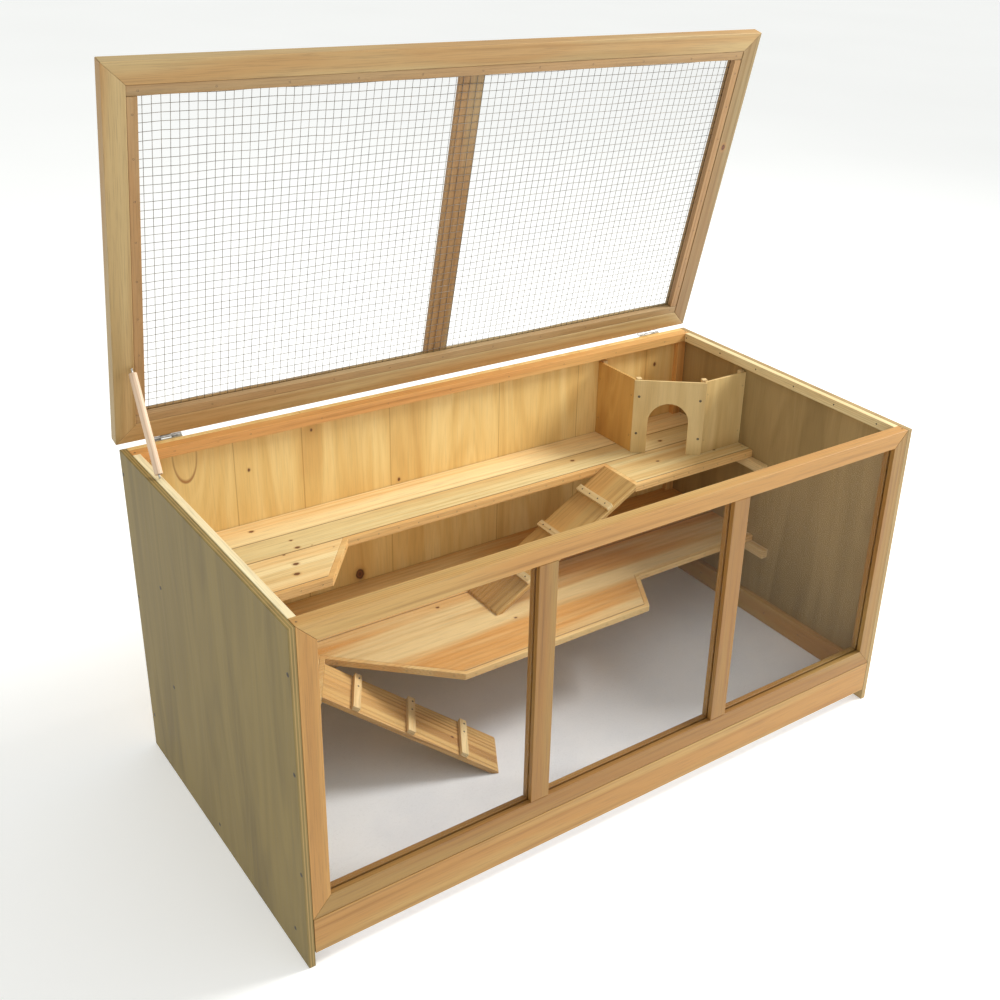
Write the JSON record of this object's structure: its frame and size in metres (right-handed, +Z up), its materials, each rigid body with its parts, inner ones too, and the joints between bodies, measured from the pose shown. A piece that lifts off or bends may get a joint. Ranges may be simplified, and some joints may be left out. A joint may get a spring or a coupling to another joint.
{
  "type": "hamster cage",
  "caption": "Long wooden box cage with clear front panes, hinged wire-mesh lid on a prop, stepped shelves, cleated ramps and an open corner house.",
  "frame": {"origin": "on the surface the cage stands on, under the middle of the whole object with its lid open", "axes": "+Z up, +X to the right along the cage's length, +Y to the back; the clear panes face -Y"},
  "size_m": [1.155, 0.6192, 1.1528],
  "materials": {
    "plywood_outside": "varnished plywood, greyish",
    "plywood_inside": "varnished plywood",
    "pine": "varnished pine",
    "pale_pine": "bare pale pine",
    "white_board": "white faced board",
    "clear_pane": "clear acrylic sheet",
    "dowel_wood": "sanded beech",
    "zinc_steel": "zinc plated"
  },
  "bodies": {
    "cage": {"side_panel_left": "plywood_outside", "side_panel_right": "plywood_outside", "back_panel": "plywood_inside", "plinth_board": "pine", "front_top_rail": "pine", "front_bottom_rail": "pine", "front_stile_left": "pine", "front_stile_right": "pine", "mullion_left": "pine", "mullion_right": "pine", "top_rail_back": "pine", "corner_post_left": "pine", "corner_post_right": "pine", "kick_board_right": "pine", "upper_shelf_back": "pine", "upper_shelf_middle": "pine", "upper_shelf_left": "pine", "upper_shelf_right": "pine", "lower_shelf_back": "pine", "lower_shelf_front": "pine", "top_rail_left": "pale_pine", "top_rail_right": "pale_pine", "upper_shelf_edging": "pale_pine", "upper_shelf_cleat_left": "pale_pine", "upper_shelf_cleat_right": "pale_pine", "lower_shelf_edging": "pale_pine", "lower_shelf_cleat_left": "pale_pine", "lower_shelf_cleat_right": "pale_pine", "floor_board": "white_board", "pane_left": "clear_pane", "pane_centre": "clear_pane", "pane_right": "clear_pane", "hinge_left_carcass_leaf": "zinc_steel", "hinge_right_carcass_leaf": "zinc_steel"},
    "lid": {"lid_rail_front": "pine", "lid_rail_back": "pine", "lid_stile_left": "pine", "lid_stile_right": "pine", "lid_batten_front": "pale_pine", "lid_batten_back": "pale_pine", "lid_batten_left": "pale_pine", "lid_batten_right": "pale_pine", "lid_centre_bar": "pale_pine", "lid_mesh": "zinc_steel", "hinge_left_lid_leaf": "zinc_steel", "hinge_right_lid_leaf": "zinc_steel"},
    "prop": {"prop_dowel": "dowel_wood", "prop_pin_upper": "zinc_steel", "prop_pin_lower": "zinc_steel"},
    "upper_ramp": {"upper_ramp_board": "pine", "upper_ramp_cleat_1": "pale_pine", "upper_ramp_cleat_2": "pale_pine", "upper_ramp_cleat_3": "pale_pine"},
    "lower_ramp": {"lower_ramp_board": "pine", "lower_ramp_cleat_1": "pale_pine", "lower_ramp_cleat_2": "pale_pine", "lower_ramp_cleat_3": "pale_pine"},
    "house": {"house_wall_left": "pale_pine", "house_wall_right": "pale_pine", "house_wall_front": "pale_pine"}
  },
  "joints": [
    {"name": "lid_hinge", "type": "hinge", "parent": "cage", "child": "lid", "pos_m": [0, 0.29136, 0.56265], "axis": [1, 0, 0], "range_deg": [0, 76.6]},
    {"name": "prop_swing", "type": "hinge", "parent": "lid", "child": "prop", "pos_m": [-0.551, 0.25674, 0.69935], "axis": [-0.916, -0.085, 0.392], "range_deg": [0, 105.8]},
    {"name": "upper_ramp_lift", "type": "slide", "parent": "cage", "child": "upper_ramp", "axis": [0, 0, 1], "range_m": [0, 0.165]},
    {"name": "lower_ramp_pull", "type": "slide", "parent": "cage", "child": "lower_ramp", "axis": [0, -1, 0], "range_m": [0, 0.13]},
    {"name": "house_slide", "type": "slide", "parent": "cage", "child": "house", "axis": [-0.7071, -0.7071, 0], "range_m": [0, 0.04]}
  ],
  "couplings": [
    {"joint": "prop_swing", "follows": "lid_hinge", "ratio": 1.3786}
  ]
}
